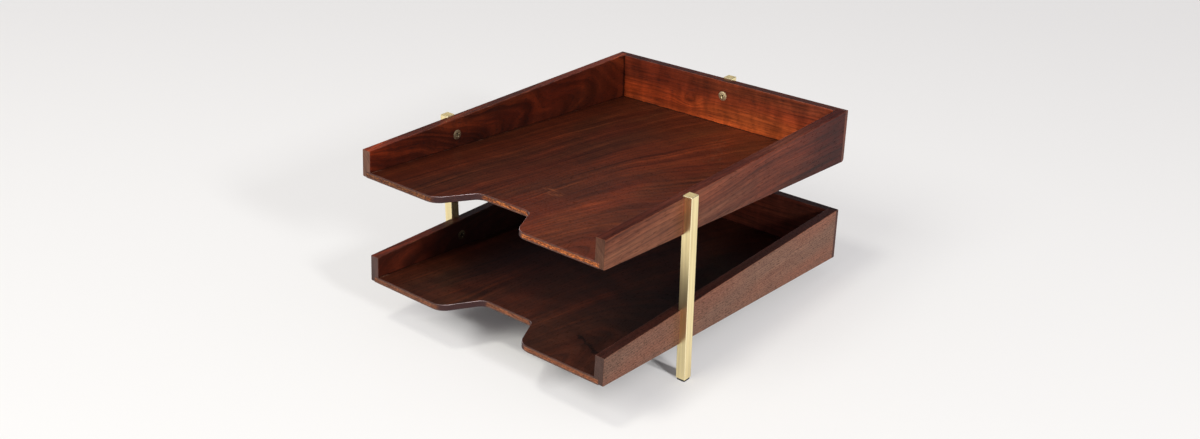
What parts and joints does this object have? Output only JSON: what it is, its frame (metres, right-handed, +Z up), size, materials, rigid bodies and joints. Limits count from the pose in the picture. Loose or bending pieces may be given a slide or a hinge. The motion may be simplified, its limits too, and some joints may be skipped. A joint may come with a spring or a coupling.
{
  "type": "two-tier paper tray rack",
  "caption": "Desk rack of two open-fronted wooden letter trays with sloping floors and thumb notches, screwed into notched square brass posts that stand on thin black feet.",
  "frame": {"origin": "on the table, under the middle of the rack's outline", "axes": "+Z up, +Y from the open front to the closed back, +X to the right seen from the front"},
  "size_m": [0.2736, 0.3528, 0.165],
  "materials": {
    "board_wood": "satin oiled, dark red-brown straight grain",
    "floor_plywood": "satin dark veneer over an orange plywood core",
    "post_brass": "satin brushed along the bar",
    "screw_brass": "satin",
    "foot_rubber": "matt black"
  },
  "bodies": {
    "root": {"upper_left_side": "board_wood", "upper_right_side": "board_wood", "upper_back_board": "board_wood", "upper_floor_panel": "floor_plywood", "lower_left_side": "board_wood", "lower_right_side": "board_wood", "lower_back_board": "board_wood", "lower_floor_panel": "floor_plywood", "left_post": "post_brass", "left_foot": "foot_rubber", "right_post": "post_brass", "right_foot": "foot_rubber", "rear_post": "post_brass", "rear_foot": "foot_rubber", "upper_left_screw": "screw_brass", "upper_right_screw": "screw_brass", "upper_rear_screw": "screw_brass", "lower_left_screw": "screw_brass", "lower_right_screw": "screw_brass", "lower_rear_screw": "screw_brass"}
  },
  "joints": []
}
